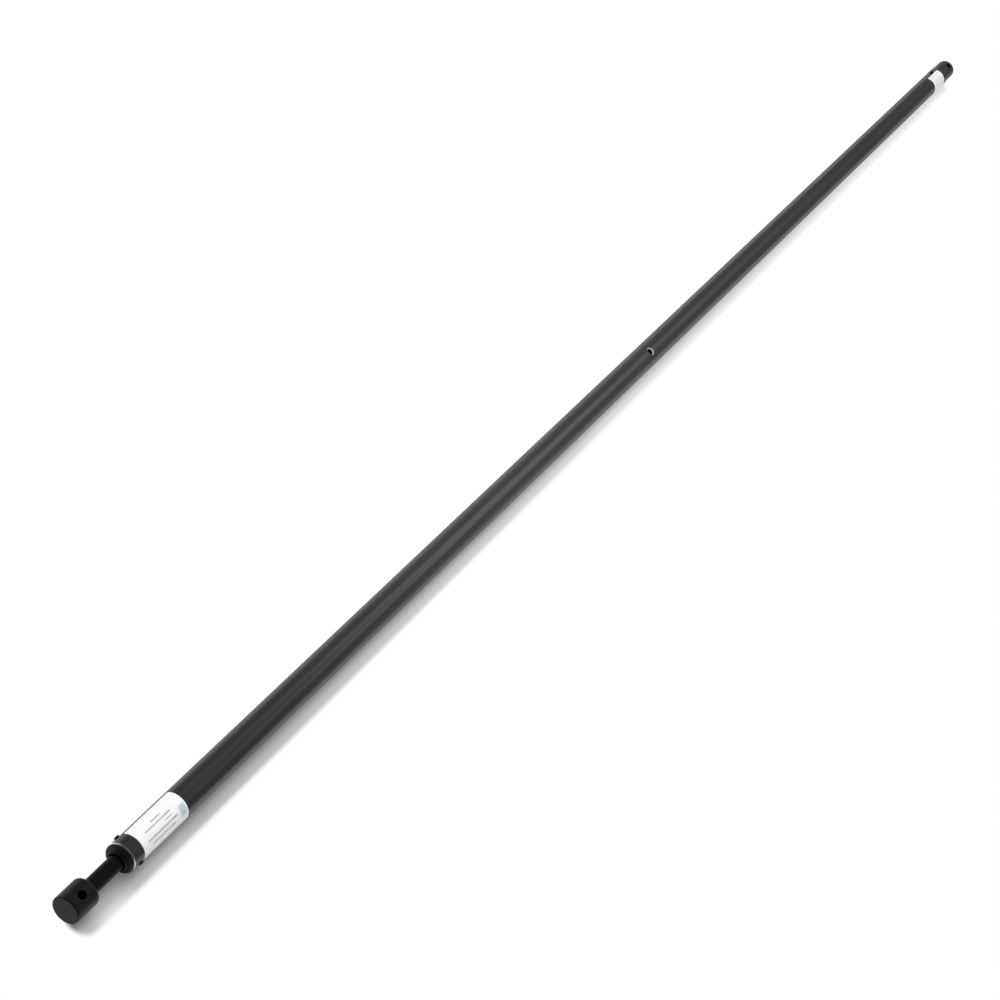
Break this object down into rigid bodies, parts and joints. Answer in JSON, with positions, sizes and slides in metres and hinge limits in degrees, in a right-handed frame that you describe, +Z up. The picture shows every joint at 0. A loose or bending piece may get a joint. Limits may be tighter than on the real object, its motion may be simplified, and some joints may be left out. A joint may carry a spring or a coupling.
{
  "type": "tiller crossbar",
  "caption": "Long straight tube that links two rudder arms of a small catamaran, with a drilled head at each end; one head screws in and out to set the length.",
  "frame": {"origin": "on the tube's axis, in the middle of the steering extension's bolt hole, which is near the middle of the bar", "axes": "+X along the bar from the adjustable end to the fixed end, +Z up along the pin holes and the bolt hole, +Y to the left of someone who looks along +X"},
  "size_m": [2.181, 0.0322, 0.029],
  "materials": {
    "tube": "satin black anodised",
    "bush": "moulded black nylon",
    "end_fitting": "moulded black nylon",
    "stainless": "plain stainless",
    "dark_screw": "black oxide",
    "label": "white vinyl label"
  },
  "bodies": {
    "bar": {"crossbar_tube": "tube", "adjuster_bush": "bush", "fixed_end_plug": "end_fitting", "adjuster_end_screw_left": "dark_screw", "adjuster_end_screw_right": "dark_screw", "fixed_end_screw_left": "dark_screw", "fixed_end_screw_right": "dark_screw", "adjuster_end_label": "label", "fixed_end_label": "label"},
    "stop": {"stop_washer": "stainless"},
    "adjuster": {"adjuster_stem": "end_fitting", "stop_screw": "stainless"}
  },
  "joints": [
    {"name": "adjuster_travel", "type": "slide", "parent": "bar", "child": "stop", "axis": [1, 0, 0], "range_m": [-0.012, 0.03]},
    {"name": "adjuster_turn", "type": "hinge", "parent": "stop", "child": "adjuster", "pos_m": [-1, 0, 0], "axis": [1, 0, 0], "range_deg": [-1080, 2700]}
  ],
  "couplings": [
    {"joint": "adjuster_travel", "follows": "adjuster_turn", "m_per_rad": 0.0006366}
  ]
}
